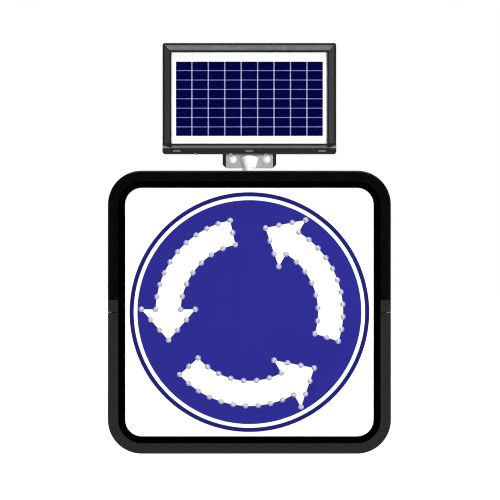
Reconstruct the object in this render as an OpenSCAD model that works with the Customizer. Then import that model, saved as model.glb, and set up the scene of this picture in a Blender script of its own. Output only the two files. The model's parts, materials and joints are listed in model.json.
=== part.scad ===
// Square solar roundabout sign: a deep rounded casing with a lit face, a solar panel on a clamped neck, and rear rails with pole clamps.
// Millimetres. +Z is up, the face looks along -Y, and the origin is on the axis of the pole, level with the middle of the face.

/* [Casing] */
// Width and height of the square casing
casing_w = 600; // [590:1:620]
// Depth of the casing, front lip to rear lip
casing_d = 70; // [68:1:90]
// Outer corner radius
corner_r = 72; // [64:1:80]
// Width of the front lip of the frame
lip_w = 22; // [20:0.5:24]
// Width of the black seal between lip and face
seal_w = 14.5; // [11:0.5:15]
// Height of the block that joins the two frame halves
joint_h = 25.6; // [20:0.2:40]
// Open gap below that block
joint_gap = 1.5; // [0.8:0.1:3]

/* [Face] */
// Outer radius of the thin blue ring
ring_r = 254.1; // [250:0.1:256]
// Width of the thin blue ring
ring_w = 8.6; // [4:0.1:9]
// Radius of the blue disc
disc_r = 237.4; // [236:0.1:240]
// Outer radius of the arrow bands
arrow_ro = 198.9; // [196:0.1:201]
// Inner radius of the arrow bands
arrow_ri = 145.8; // [142:0.1:150]
// Angle at which the first arrow begins
arrow_a0 = 101.8; // [100:0.1:108]
// Radius of a lamp's flange
lamp_r = 5.9; // [5.5:0.1:6.4]

/* [Solar panel] */
// Width of the solar panel
panel_w = 368.6; // [350:0.2:380]
// Height of the solar panel
panel_h = 236.1; // [225:0.1:250]
// Number of cell columns
cell_cols = 9; // [6:1:12]
// Number of cell rows
cell_rows = 8; // [4:1:10]
// Upright gap between cell columns
cell_gap_x = 2.5; // [1:0.1:4]
// Level gap between cell rows
cell_gap_z = 1.7; // [1:0.1:4]

/* [Pole fittings] */
// Radius of the pole
pole_r = 30; // [24:0.5:38]
// Thickness of the pole clamps
clamp_t = 4; // [3:0.5:6]
// Height of each rail centre above and below the middle
rail_z = 130; // [125:1:180]
// Length of the rails
rail_l = 480; // [420:1:520]

/* [Hidden] */
$fn = 64;

H = casing_w / 2;
R = corner_r;
rail_d = 22.5;
back_v = casing_d - 2.5;              // depth of the back panel's rear face
pole_v = back_v + rail_d + clamp_t + pole_r;   // depth of the pole axis behind the front plane
face_v = 10;                          // depth of the face's front
neck_v = 35;                          // depth of the neck's axis
top = H;                              // height of the casing's top
tilt_v = 54;
tilt_y = top + 66;
panel_y0 = top + 34.9;                // bottom edge of the solar panel
panel_y1 = panel_y0 + panel_h;
PW = panel_w / 2;
side_w = 19.2;
top_w = 20.5;
bot_w = 22.6;
cover_x = -165;
head_y = 5.9;                         // level of the arrowheads' base in the first arrow
head_xo = -229.3;
head_xi = -114.3;
head_tip = [-171.5, -60];
blacks = [0.045, 0.045, 0.047];
charcoal = [0.17, 0.17, 0.17];
zinc = [0.74, 0.75, 0.76];

// Everything is drawn with x right, y up and z towards the viewer, then stood up.
module stand() { rotate([90, 0, 0]) children(); }
function fz(v) = pole_v - v;          // z of a depth v behind the front plane
module slab(v1, v2) { translate([0, 0, fz(v2)]) linear_extrude(v2 - v1) children(); }
module along_y(y1, y2) { translate([0, y2, 0]) rotate([90, 0, 0]) linear_extrude(y2 - y1) children(); }
// A shape drawn as [depth from the front, height], pushed out along x.
module along_x(x1, x2) { translate([x1, 0, 0]) rotate([90, 0, 90]) linear_extrude(x2 - x1) mirror_v() children(); }
module mirror_v() { translate([0, pole_v]) rotate(-90) children(); }
module turned_y(v) { translate([0, 0, fz(v)]) rotate([-90, 0, 0]) rotate_extrude() children(); }
module peg(x, y, v1, v2, r) { translate([x, y, fz(v2)]) cylinder(r = r, h = v2 - v1); }
module hexpeg(x, y, v1, v2, r) { translate([x, y, fz(v2)]) cylinder(r = r, h = v2 - v1, $fn = 6); }
module rsq(w, h, r) {
  square([w - 2 * r, h], center = true);
  square([w, h - 2 * r], center = true);
  for (sx = [-1, 1], sy = [-1, 1]) translate([sx * (w / 2 - r), sy * (h / 2 - r)]) circle(r = r);
}
module slot2d(w, h) {
  square([w - h, h], center = true);
  for (s = [-1, 1]) translate([s * (w - h) / 2, 0]) circle(r = h / 2);
}

// ---------- frame ----------
// The section is drawn at the corner's radius: u runs inward from the outside, v back from the front.
module uv(u1, u2, v1, v2) { translate([R - u2, fz(v2)]) square([u2 - u1, v2 - v1]); }
module frame_prof(core = 2.5) {
  difference() {
    union() {
      uv(0, 2.5, 0, casing_d);
      uv(0, lip_w, 0, 3);
      uv(2, 14, face_v + 3, face_v + 5.5);
      uv(2, 12, back_v - 4.5, back_v - 2);
      uv(0, 18, back_v, casing_d);
      if (core > 2.5) uv(2, core, face_v + 5, back_v - 4);
    }
    translate([R - 4, fz(4)]) difference() { square([5, 5]); circle(r = 4); }
    translate([R - 2, fz(casing_d - 2)]) difference() { translate([0, -3]) square([3, 3]); circle(r = 2); }
    uv(-1, 0.6, 23, 24.5);
    uv(-1, 0.6, casing_d - 24.5, casing_d - 23);
  }
}
module frame_edge(x1, x2, core = 2.5) { translate([x1, H - R, 0]) rotate([90, 0, 90]) linear_extrude(x2 - x1) frame_prof(core); }
module frame_bend() { translate([H - R, H - R, 0]) rotate_extrude(angle = 90) frame_prof(); }
jy = [-34, -14, joint_h + 14, joint_h + 34];
module joint_holes() {
  for (s = [-1, 1], y = jy) translate([s * (H + 0.01), y, fz(39.5)]) rotate([0, -s * 90, 0]) {
    cylinder(r = 2.15, h = 3);
    translate([0, 0, -0.01]) cylinder(r1 = 4.15, r2 = 2.15, h = 2);
  }
}
module frame_upper() {
  color(blacks) stand() difference() {
    union() {
      frame_edge(-(H - R), H - R);
      frame_bend();
      rotate(90) frame_bend();
      rotate(90) frame_edge(joint_h, H - R);
      rotate(-90) frame_edge(-(H - R), -joint_h);
    }
    translate([0, top - 10, fz(neck_v)]) rotate([-90, 0, 0]) cylinder(r = 8.2, h = 20);
    joint_holes();
  }
}
module frame_lower() {
  color(charcoal) stand() difference() {
    union() {
      rotate(180) frame_edge(-(H - R), H - R);
      rotate(180) frame_bend();
      rotate(270) frame_bend();
      rotate(90) frame_edge(-(H - R), -joint_gap + 0.5);
      rotate(-90) frame_edge(joint_gap - 0.5, H - R);
    }
    joint_holes();
    for (s = [-1, 1]) translate([s * 200, -H - 1, fz(34)]) rotate([-90, 0, 0]) cylinder(r = 3, h = 8);
  }
}
// Drawn for the left side; the right one is its mirror image.
module joint_block() {
  difference() {
    union() {
      rotate(90) frame_edge(0.5, joint_h, 9);
      translate([-H + 2.6, -45, fz(back_v - 5)]) cube([6, joint_h + 90, back_v - face_v - 12]);
    }
    for (y = jy) translate([-H, y, fz(39.5)]) rotate([0, 90, 0]) cylinder(r = 2.05, h = 12);
  }
}
module joint_block_left() { color(charcoal) stand() joint_block(); }
module joint_block_right() { color(charcoal) stand() mirror([1, 0, 0]) joint_block(); }
module joint_screws() {
  color(zinc) stand() for (s = [-1, 1], y = jy) translate([s * (H - 0.15), y, fz(39.5)]) rotate([0, -s * 90, 0]) difference() {
    union() {
      cylinder(r1 = 3.85, r2 = 2, h = 1.75);
      translate([0, 0, 1.7]) cylinder(r = 2, h = 6.1);
    }
    for (a = [0, 90]) rotate(a) translate([-2.2, -0.35, -0.1]) cube([4.4, 0.7, 1.1]);
  }
}

// ---------- face ----------
module seal_prof() {
  i = lip_w + seal_w;
  polygon([for (p = [[9, 3.02], [lip_w + 0.02, 3.02], [lip_w + 0.02, 1.4], [lip_w + 1.2, 1], [i, face_v - 1.2], [i, face_v], [9, face_v]]) [R - p[0], fz(p[1])]]);
}
module face_seal() {
  color([0.02, 0.02, 0.02]) stand() for (a = [0, 90, 180, 270]) rotate(a) {
    translate([-(H - R), H - R, 0]) rotate([90, 0, 90]) linear_extrude(2 * (H - R)) seal_prof();
    translate([H - R, H - R, 0]) rotate_extrude(angle = 90) seal_prof();
  }
}
function polar(r, a) = [r * cos(a), r * sin(a)];
function spin(p, a) = [p[0] * cos(a) - p[1] * sin(a), p[0] * sin(a) + p[1] * cos(a)];
function neck_a(r) = 180 - asin(head_y / r);
bo = [head_xo, head_y];
bi = [head_xi, head_y];
lamps_1 = concat(
  [for (i = [0:10]) polar(arrow_ro, arrow_a0 + (neck_a(arrow_ro) - arrow_a0) * i / 10)],
  [for (i = [0:7]) polar(arrow_ri, arrow_a0 + (neck_a(arrow_ri) - arrow_a0) * i / 7)],
  [polar((arrow_ro + arrow_ri) / 2, arrow_a0), bo, bi, head_tip],
  [for (i = [1, 2]) bo + (head_tip - bo) * i / 3],
  [for (i = [1, 2]) bi + (head_tip - bi) * i / 3]);
lamps = [for (a = [0, 120, 240], p = lamps_1) spin(p, a)];
module arrow_arc(grow = 0) {
  intersection() {
    difference() { circle(r = arrow_ro + grow); circle(r = arrow_ri - grow); }
    polygon([[0, 0], polar(320, arrow_a0 - grow / 3), [-300, 300], [-300, head_y - 0.01], [-60, head_y - 0.01]]);
  }
}
module arrow_head(grow = 0) {
  g = grow * 1.2;
  polygon(grow == 0 ? [bo, bi, head_tip] :
    [[head_xo - g * 0.55, head_y + grow], [head_xi + g * 1.7, head_y + grow], [head_tip[0] + grow * 0.6, head_tip[1] - g], [head_tip[0] - grow * 0.6, head_tip[1] - g]]);
}
module face_plate() {
  color("white") stand() difference() {
    slab(face_v, face_v + 3) rsq(casing_w - 10, casing_w - 10, R - 5);
    for (p = lamps) peg(p[0], p[1], face_v - 1, face_v + 4, 5);
  }
}
module blue_disc_film() {
  color([0.18, 0.18, 0.57]) stand() difference() {
    slab(face_v - 0.4, face_v) difference() {
      circle(r = disc_r, $fn = 180);
      for (a = [0, 120, 240]) rotate(a) { arrow_arc(); arrow_head(); }
    }
    for (p = lamps) peg(p[0], p[1], face_v - 1, face_v + 1, 5);
  }
}
module blue_ring_film() {
  color([0.14, 0.14, 0.48]) stand() slab(face_v - 0.4, face_v) difference() {
    circle(r = ring_r, $fn = 180);
    circle(r = ring_r - ring_w, $fn = 180);
  }
}
module lamp() {
  rotate_extrude() polygon(concat([[0, -9.8], [4.9, -9.8], [4.9, 0.4], [lamp_r, 0.4], [lamp_r, 1.1], [lamp_r - 0.5, 1.5]],
    [for (t = [0:15:90]) [5.2 * cos(t), 1.6 + 4.2 * sin(t)]]));
}
module led_lenses() { color([0.86, 0.86, 0.9]) stand() for (p = lamps) translate([p[0], p[1], fz(face_v)]) lamp(); }
pins = [polar(172.3, 114), polar(172.3, 140), polar(172.3, 166), [-171.5, -18]];
module led_board() {
  difference() {
    union() {
      slab(20, 21.6) arrow_arc(9);
      slab(20, 21.6) arrow_head(9);
    }
    for (p = pins) peg(p[0], p[1], 19, 23, 1.6);
  }
}
module led_board_left() { color([0.05, 0.35, 0.18]) stand() led_board(); }
module led_board_bottom() { color([0.05, 0.35, 0.18]) stand() rotate(120) led_board(); }
module led_board_right() { color([0.05, 0.35, 0.18]) stand() rotate(240) led_board(); }
module board_spacers() {
  color("ivory") stand() for (a = [0, 120, 240]) rotate(a) for (p = pins) difference() {
    peg(p[0], p[1], face_v + 3, 20, 3.5);
    peg(p[0], p[1], face_v + 4.4, 21, 1.5);
  }
}
module board_screws() {
  color(zinc) stand() for (a = [0, 120, 240]) rotate(a) for (p = pins) union() {
    peg(p[0], p[1], face_v + 4.6, 22, 1.45);
    peg(p[0], p[1], 21.6, 23.4, 3);
  }
}

// ---------- back ----------
cover_holes = [for (x = [-1, 1], y = [-1, 0, 1]) [cover_x + x * 72, y * 88], for (y = [-1, 1]) [cover_x, y * 90]];
rivet_x = [-210, -110, 0, 110, 210];
module back_panel() {
  color([0.42, 0.43, 0.44]) stand() difference() {
    slab(back_v - 2, back_v) difference() {
      rsq(casing_w - 10, casing_w - 10, R - 5);
      translate([cover_x, 0]) rsq(126, 166, 10);
    }
    for (p = cover_holes) peg(p[0], p[1], back_v - 4, back_v + 1, 2.55);
    for (x = rivet_x, s = [-1, 1]) peg(x, s * rail_z, back_v - 4, back_v + 1, 2.45);
    peg(230, -230, back_v - 4, back_v + 1, 6.05);
  }
}
module cover_seal() {
  color([0.04, 0.04, 0.04]) stand() difference() {
    slab(back_v, back_v + 1.5) translate([cover_x, 0]) difference() { rsq(158, 194, 13); rsq(130, 170, 10); }
    for (p = cover_holes) peg(p[0], p[1], back_v - 1, back_v + 3, 2.7);
  }
}
module service_cover() {
  color([0.42, 0.43, 0.44]) stand() difference() {
    union() {
      slab(back_v + 1.5, back_v + 3.5) translate([cover_x, 0]) rsq(160, 196, 14);
      slab(back_v + 3.4, back_v + 5) translate([cover_x, 0]) rsq(112, 148, 10);
    }
    slab(back_v + 1, back_v + 3.1) translate([cover_x, 0]) rsq(108, 144, 8);
    for (p = cover_holes) peg(p[0], p[1], back_v + 1, back_v + 6, 2.7);
  }
}
module cover_screws() {
  color(zinc) stand() for (p = cover_holes) difference() {
    union() {
      peg(p[0], p[1], back_v - 5, back_v + 4, 2.5);
      peg(p[0], p[1], back_v + 3.5, back_v + 6.2, 4.6);
    }
    for (a = [0, 90]) translate([p[0], p[1], 0]) rotate(a) translate([-2.6, -0.45, fz(back_v + 6.3)]) cube([5.2, 0.9, 1.4]);
  }
}
module vent_plug() {
  color([0.06, 0.06, 0.06]) stand() difference() {
    union() {
      peg(230, -230, back_v - 9, back_v + 1, 6);
      hexpeg(230, -230, back_v, back_v + 5, 10.5);
      peg(230, -230, back_v + 4, back_v + 8, 8.5);
    }
    peg(230, -230, back_v - 10, back_v + 6.5, 3);
    for (a = [0, 60, 120]) translate([230, -230, 0]) rotate(a) translate([-10, -0.8, fz(back_v + 6.4)]) cube([20, 1.6, 1]);
  }
}

// ---------- inside ----------
bat_v = back_v - 22.5;
module battery_pack() {
  color([0.10, 0.30, 0.62]) stand() translate([cover_x, 0, fz(bat_v)]) rotate([0, -90, 0]) linear_extrude(70, center = true) rotate(90) slot2d(132, 33);
}
module battery_cradle() {
  color(zinc) stand() translate([cover_x, 0, 0]) difference() {
    union() {
      translate([-30, -67.8, fz(bat_v - 16.6)]) cube([60, 135.6, 1.5]);
      for (s = [-1, 1]) {
        translate([-30, s > 0 ? 66.3 : -67.8, fz(back_v - 2)]) cube([60, 1.5, back_v - 2 - bat_v + 18.1]);
        translate([-30, s > 0 ? 66.3 : -98, fz(back_v - 2)]) cube([60, 31.7, 1.5]);
      }
    }
    for (s = [-1, 1]) {
      translate([-12, s > 0 ? 60 : -75, fz(back_v - 4.2)]) cube([24, 15, 1.6]);
      peg(0, s * 90, back_v - 5, back_v - 1, 2.6);
    }
  }
}
module battery_strap() {
  color([0.08, 0.08, 0.08]) stand() translate([cover_x - 11, -71, fz(back_v - 4.3)]) cube([22, 142, 1.4]);
}
cx = 165;
module controller_case() {
  color([0.12, 0.12, 0.13]) stand() translate([cx, 0, 0]) difference() {
    slab(back_v - 30, back_v - 2) rsq(110, 72, 5);
    slab(back_v - 31, back_v - 4) rsq(106, 68, 3);
    for (s = [-1, 1]) translate([s * 25, -30, fz(back_v - 12)]) rotate([90, 0, 0]) cylinder(r = 5, h = 12);
  }
}
module controller_lid() {
  color([0.16, 0.16, 0.17]) stand() translate([cx, 0, 0]) difference() {
    slab(back_v - 32, back_v - 30) rsq(110, 72, 5);
    for (x = [-30:10:30]) peg(x, 0, back_v - 33, back_v - 29, 2);
  }
}

// ---------- rails and pole clamps ----------
module rail(s) {
  along_x(-rail_l / 2, rail_l / 2) translate([back_v, s * rail_z - 20]) difference() {
    square([rail_d, 40]);
    translate([2, 2]) square([rail_d - 4, 36]);
    translate([rail_d - 3, 13.5]) square([5, 13]);
  }
}
module rail_hole(s) { for (x = rivet_x) peg(x, s * rail_z, back_v - 1, back_v + 3, 2.45); }
module rail_upper() { color(zinc) stand() difference() { rail(1); rail_hole(1); } }
module rail_lower() { color(zinc) stand() difference() { rail(-1); rail_hole(-1); } }
module rail_rivets() {
  color([0.8, 0.8, 0.8]) stand() for (x = rivet_x, s = [-1, 1]) union() {
    peg(x, s * rail_z, back_v - 4, back_v + 3, 2.4);
    translate([x, s * rail_z, fz(back_v - 2)]) cylinder(r1 = 3.6, r2 = 2.8, h = 3.2);
    translate([x, s * rail_z, fz(back_v + 3.6)]) cylinder(r1 = 3.4, r2 = 4.9, h = 1.6);
  }
}
module rail_end_caps() {
  color([0.05, 0.05, 0.05]) stand() for (s = [-1, 1], e = [-1, 1]) {
    x0 = e > 0 ? rail_l / 2 : -rail_l / 2 - 3;
    x1 = e > 0 ? rail_l / 2 - 10 : -rail_l / 2 - 0.5;
    along_x(x0, x0 + 3) translate([back_v + 0.3, s * rail_z - 20]) square([rail_d - 0.3, 40]);
    along_x(x1, x1 + 10.5) translate([back_v + 2.2, s * rail_z - 17.7]) square([rail_d - 4.4, 35.4]);
  }
}
module saddle2d() {
  ro = pole_r + clamp_t;
  difference() {
    union() {
      circle(r = ro, $fn = 96);
      translate([-ro - 28, 2]) square([2 * ro + 56, clamp_t]);
    }
    circle(r = pole_r, $fn = 96);
    translate([-200, -200]) square([400, 202]);
  }
}
bolt_x = pole_r + clamp_t + 16;
module pole_half(s, back) {
  difference() {
    rotate([0, back ? 180 : 0, 0]) along_y(s * rail_z - 20, s * rail_z + 20) saddle2d();
    for (x = [-1, 1]) peg(x * bolt_x, s * rail_z, pole_v - 20, pole_v + 20, 4.5);
  }
}
module pole_saddle_upper() { color(zinc) stand() pole_half(1, false); }
module pole_saddle_lower() { color(zinc) stand() pole_half(-1, false); }
module pole_strap_upper() { color(zinc) stand() pole_half(1, true); }
module pole_strap_lower() { color(zinc) stand() pole_half(-1, true); }
ear_v = pole_v + 2 + clamp_t;         // rear face of the straps' ears
module pole_clamp_bolts() {
  color([0.78, 0.78, 0.76]) stand() for (x = [-1, 1], s = [-1, 1]) union() {
    translate([x * bolt_x - 5, s * rail_z - 12, fz(back_v + rail_d - 2)]) cube([10, 24, 6]);
    peg(x * bolt_x, s * rail_z, back_v + rail_d - 3, ear_v + 12, 4);
  }
}
module pole_clamp_washers() {
  color([0.78, 0.78, 0.76]) stand() for (x = [-1, 1], s = [-1, 1]) difference() {
    peg(x * bolt_x, s * rail_z, ear_v, ear_v + 1.6, 8);
    peg(x * bolt_x, s * rail_z, ear_v - 1, ear_v + 3, 4.2);
  }
}
module pole_clamp_nuts() {
  color([0.78, 0.78, 0.76]) stand() for (x = [-1, 1], s = [-1, 1]) difference() {
    hexpeg(x * bolt_x, s * rail_z, ear_v + 1.6, ear_v + 8.1, 7.5);
    peg(x * bolt_x, s * rail_z, ear_v, ear_v + 9, 4.05);
  }
}

// ---------- neck and its clamp ----------
module neck() {
  color([0.85, 0.85, 0.86]) stand() turned_y(neck_v)
    polygon([[5, top - 15], [8, top - 15], [8, top], [16.4, top], [16.4, top + 1], [15.9, top + 1.7], [14.9, top + 2.6], [14.4, top + 4.7], [10.45, top + 4.7], [10.45, top + 5.2], [16.45, top + 26.6], [12.2, top + 28.2], [5, top + 28.2]]);
}
module neck_locknut() {
  color([0.78, 0.78, 0.76]) stand() translate([0, top - 8.5, fz(neck_v)]) rotate([-90, 0, 0]) difference() {
    cylinder(r = 14, h = 6, $fn = 6);
    translate([0, 0, -1]) cylinder(r = 8.05, h = 8);
  }
}
cb = top + 5.2;                       // bottom edge of the two clamp halves
ct = top + 48;                        // top edge of the two clamp halves
function cone_r(y, t) = 13.7 + 6 * (y - cb) / 21.4 - t;
module cone_out() { polygon([[0, cb], [cone_r(cb, 0), cb], [19.7, cb + 21.4], [19.7, cb + 28], [0, cb + 28]]); }
module cone_in() { polygon(concat([[0, cb - 1], [cone_r(cb - 1, 3), cb - 1], [16.7, cb + 21.4]], [for (t = [15:15:90]) [16.7 * cos(t), cb + 21.4 + 3 * sin(t)]])); }
module clamp_front() {
  color([0.72, 0.72, 0.72]) stand() difference() {
    union() {
      slab(neck_v - 4, neck_v - 1) polygon([[-48, cb], [48, cb], [50, cb + 2], [50, ct], [-50, ct], [-50, cb + 2]]);
      // The boss ends in a shallow arch at the top.
      intersection() {
        turned_y(neck_v) cone_out();
        peg(0, top + 32.3 - 40.6, neck_v - 25, neck_v - 1, 40.6);
      }
    }
    turned_y(neck_v) cone_in();
    for (s = [-1, 1]) peg(s * 36, top + 24, 20, 40, 4.2);
    translate([0, cb + 3 - 25.5, fz(neck_v - 4)]) cylinder(r = 25.5, h = 40, $fn = 96);
  }
}
module ear2d() {
  translate([tilt_v, tilt_y]) circle(r = 12);
  polygon([[neck_v + 3, top + 29], [neck_v + 3, top + 50], [46, top + 74], [tilt_v, tilt_y + 11.5], [tilt_v + 11.5, tilt_y], [61, top + 52], [49, top + 29]]);
}
module clamp_rear() {
  color([0.04, 0.04, 0.04]) stand() difference() {
    union() {
      slab(neck_v + 1, neck_v + 4) polygon([[-49, cb], [49, cb], [57, cb + 7.6], [57, ct], [-57, ct], [-57, cb + 7.6]]);
      difference() {
        turned_y(neck_v) cone_out();
        translate([-60, cb - 5, fz(neck_v + 1)]) cube([120, 60, 61]);
        translate([-60, cb + 22, fz(neck_v + 60)]) cube([120, 60, 120]);
      }
      for (s = [-1, 1]) along_x(s > 0 ? 24 : -28, s > 0 ? 28 : -24) ear2d();
    }
    turned_y(neck_v) cone_in();
    for (s = [-1, 1]) peg(s * 36, top + 24, 20, 45, 4.2);
    translate([-40, tilt_y, fz(tilt_v)]) rotate([0, 90, 0]) cylinder(r = 4.1, h = 80);
  }
}
module clamp_bolts() {
  color([0.86, 0.86, 0.86]) stand() for (s = [-1, 1]) translate([s * 36, top + 24, fz(neck_v - 5.6)])
    rotate_extrude() polygon(concat([[0, -26], [4, -26], [4, 0]], [for (t = [0:15:90]) [6.9 * cos(t), 4.3 * sin(t)]]));
}
module clamp_washers() {
  color([0.8, 0.8, 0.8]) stand() for (s = [-1, 1]) difference() {
    peg(s * 36, top + 24, neck_v - 5.6, neck_v - 4, 8.8);
    peg(s * 36, top + 24, neck_v - 7, neck_v - 3, 4.1);
  }
}
module clamp_nuts() {
  color([0.78, 0.78, 0.76]) stand() for (s = [-1, 1]) difference() {
    hexpeg(s * 36, top + 24, neck_v + 4, neck_v + 10.5, 7.5);
    peg(s * 36, top + 24, neck_v + 3, neck_v + 12, 4.05);
  }
}
module tilt_bolt() {
  color([0.78, 0.78, 0.76]) stand() translate([0, tilt_y, fz(tilt_v)]) rotate([0, 90, 0]) {
    translate([0, 0, -32]) cylinder(r = 4, h = 74);
    translate([0, 0, -37.3]) cylinder(r = 7.5, h = 5.5, $fn = 6);
  }
}
module tilt_nut() {
  color([0.78, 0.78, 0.76]) stand() translate([0, tilt_y, fz(tilt_v)]) rotate([0, 90, 0]) difference() {
    union() {
      translate([0, 0, 31.8]) cylinder(r = 8, h = 1.6);
      translate([0, 0, 33.3]) cylinder(r = 7.5, h = 6.5, $fn = 6);
    }
    translate([0, 0, 30]) cylinder(r = 4.05, h = 12);
  }
}

// ---------- solar panel ----------
// Rail sections as [inward from the outer edge, depth].
function side_pts(W) = [[0, 30], [0, 8], [0.045 * W, 6.7], [0.11 * W, 6], [0.27 * W, 6], [0.76 * W, 2.9], [0.80 * W, 2.7], [0.95 * W, 2.7], [W, 3.4],
  [W, 8], [W - 5, 8], [W - 5, 12.4], [W, 12.4], [W, 14], [2, 14], [2, 28], [12, 28], [12, 30]];
bot_pts = [[0, 30], [0, 3.4], [0.7, 2], [2.2, 1.25], [12.2, 1], [12.9, 1.4], [17.1, 6.1], [17.7, 6.5], [22, 6.5], [22.6, 7], [22.6, 8],
  [17.6, 8], [17.6, 12.4], [22.6, 12.4], [22.6, 14], [2, 14], [2, 28], [12, 28], [12, 30]];
module panel_outline() { translate([0, (panel_y0 + panel_y1) / 2]) rsq(panel_w, panel_h, 6); }
edge_screw_x = [-114, -39.5, 34.5, 111];
mark_x = [-154, 0, 154];
module panel_rail_top() {
  color([0.22, 0.22, 0.23]) stand() intersection() {
    along_x(-PW, PW) polygon([for (p = side_pts(top_w)) [p[1], panel_y1 - p[0]]]);
    slab(0, 31) intersection() {
      panel_outline();
      polygon([[-PW, panel_y1], [PW, panel_y1], [PW - side_w, panel_y1 - top_w], [-PW + side_w, panel_y1 - top_w]]);
    }
  }
}
module panel_side(s) {
  difference() {
    intersection() {
      along_y(panel_y0 + bot_w, panel_y1) polygon([for (p = side_pts(side_w)) [s * (PW - p[0]), fz(p[1])]]);
      slab(0, 31) intersection() {
        panel_outline();
        polygon([[s * PW, panel_y1], [s * (PW - side_w), panel_y1 - top_w], [s * (PW - side_w), panel_y0], [s * PW, panel_y0]]);
      }
    }
    peg(s * (PW - 7), top + 95, 27, 31, 1.95);
  }
}
module panel_rail_left() { color([0.22, 0.22, 0.23]) stand() panel_side(-1); }
module panel_rail_right() { color([0.22, 0.22, 0.23]) stand() panel_side(1); }
module panel_rail_bottom() {
  color([0.18, 0.18, 0.185]) stand() difference() {
    intersection() {
      union() {
        along_x(-PW, PW) polygon([for (p = bot_pts) [p[1], panel_y0 + p[0]]]);
        for (s = [-1, 1]) along_x(s > 0 ? PW - 2.5 : -PW, s > 0 ? PW : -PW + 2.5) translate([7, panel_y0]) square([23, bot_w]);
      }
      slab(0, 31) panel_outline();
    }
    for (x = mark_x) slab(0, 3) translate([x, panel_y0 + 6.5]) slot2d(17, 3.6);
    for (x = edge_screw_x) translate([x, panel_y0 - 1, fz(3.6)]) rotate([-90, 0, 0]) {
      cylinder(r = 2.8, h = 2);
      cylinder(r = 1.45, h = 10);
    }
  }
}
module panel_plugs() { color([0.36, 0.36, 0.36]) stand() for (x = mark_x) slab(0.6, 3) translate([x, panel_y0 + 6.5]) slot2d(16.9, 3.5); }
module panel_edge_screws() {
  color([0.85, 0.85, 0.85]) stand() for (x = edge_screw_x) translate([x, panel_y0 - 1.3, fz(3.6)]) rotate([-90, 0, 0]) {
    cylinder(r = 2.7, h = 2.2);
    cylinder(r = 1.4, h = 9);
  }
}
gx = PW - side_w + 5;
gy0 = panel_y0 + bot_w - 5;
gy1 = panel_y1 - top_w + 5;
module lam(v1, v2) { slab(v1, v2) translate([-gx, gy0]) square([2 * gx, gy1 - gy0]); }
module panel_glass() { color([0.9, 0.95, 1, 0.3]) stand() lam(8, 11.2); }
module panel_backsheet() { color("white") stand() lam(11.5, 12.4); }
cells_w = panel_w - 57.4;
cells_h = panel_h - 78.7;
cells_y0 = panel_y0 + 38.8;
pitch_x = (cells_w + cell_gap_x) / cell_cols;
pitch_y = (cells_h + cell_gap_z) / cell_rows;
module solar_cells() {
  color([0.01, 0.02, 0.25]) stand() for (i = [0:cell_cols - 1], j = [0:cell_rows - 1])
    slab(11.2, 11.5) translate([-cells_w / 2 + i * pitch_x, cells_y0 + j * pitch_y]) square([pitch_x - cell_gap_x, pitch_y - cell_gap_z]);
}
jb_y = panel_y1 - 70;
module junction_box() {
  color([0.05, 0.05, 0.05]) stand() translate([0, jb_y, 0]) difference() {
    slab(12.4, 27) rsq(92, 60, 4);
    slab(14.4, 28) rsq(88, 56, 2.5);
    translate([0, -26, fz(20)]) rotate([90, 0, 0]) cylinder(r = 3.95, h = 8);
  }
}
module junction_lid() {
  color([0.07, 0.07, 0.07]) stand() translate([0, jb_y, 0]) {
    slab(27, 29.4) difference() { rsq(94, 62, 5); for (x = [-1, 1]) translate([x * 42, 0]) circle(r = 1.2); }
    slab(24, 27) difference() { rsq(87.6, 55.6, 2.4); rsq(84, 52, 2); }
  }
}
module junction_gland() {
  color([0.04, 0.04, 0.04]) stand() translate([0, jb_y - 34, fz(20)]) rotate([-90, 0, 0]) difference() {
    union() {
      cylinder(r = 3.9, h = 8);
      translate([0, 0, -3]) cylinder(r = 7.5, h = 7, $fn = 6);
      translate([0, 0, -10]) cylinder(r1 = 5, r2 = 6.4, h = 7.1);
    }
    translate([0, 0, -11]) cylinder(r = 2.6, h = 22);
  }
}
module panel_crossbar() {
  color(zinc) stand() difference() {
    slab(30, 33) translate([-PW + 2, top + 85]) square([panel_w - 4, 20]);
    for (s = [-1, 1]) {
      peg(s * 20, top + 95, 28, 35, 4.1);
      peg(s * (PW - 7), top + 95, 28, 35, 1.95);
    }
  }
}
module crossbar_bolts() {
  color([0.8, 0.8, 0.78]) stand() for (s = [-1, 1]) {
    union() {
      peg(s * 20, top + 95, 26, 43.5, 4);
      peg(s * 20, top + 95, 26.4, 30, 7);
      hexpeg(s * 20, top + 95, 36, 42.5, 7.5);
    }
    union() {
      peg(s * (PW - 7), top + 95, 24, 34, 1.9);
      peg(s * (PW - 7), top + 95, 33, 35.2, 3.6);
    }
  }
}
module cheek2d() {
  translate([tilt_v, tilt_y]) circle(r = 9);
  polygon([[35.9, top + 53], [tilt_v, tilt_y - 8.6], [tilt_v + 8.6, tilt_y], [tilt_v, tilt_y + 8.6], [44, top + 90], [35.9, top + 96]]);
}
module tilt_bracket() {
  color(zinc) stand() difference() {
    union() {
      slab(33, 36) translate([-31.4, top + 53]) square([62.8, 55]);
      for (s = [-1, 1]) along_x(s > 0 ? 28.4 : -31.4, s > 0 ? 31.4 : -28.4) cheek2d();
    }
    for (x = [-1, 1]) peg(x * 20, top + 95, 32, 37, 4.1);
    translate([-40, tilt_y, fz(tilt_v)]) rotate([0, 90, 0]) cylinder(r = 4.1, h = 80);
  }
}

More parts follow.
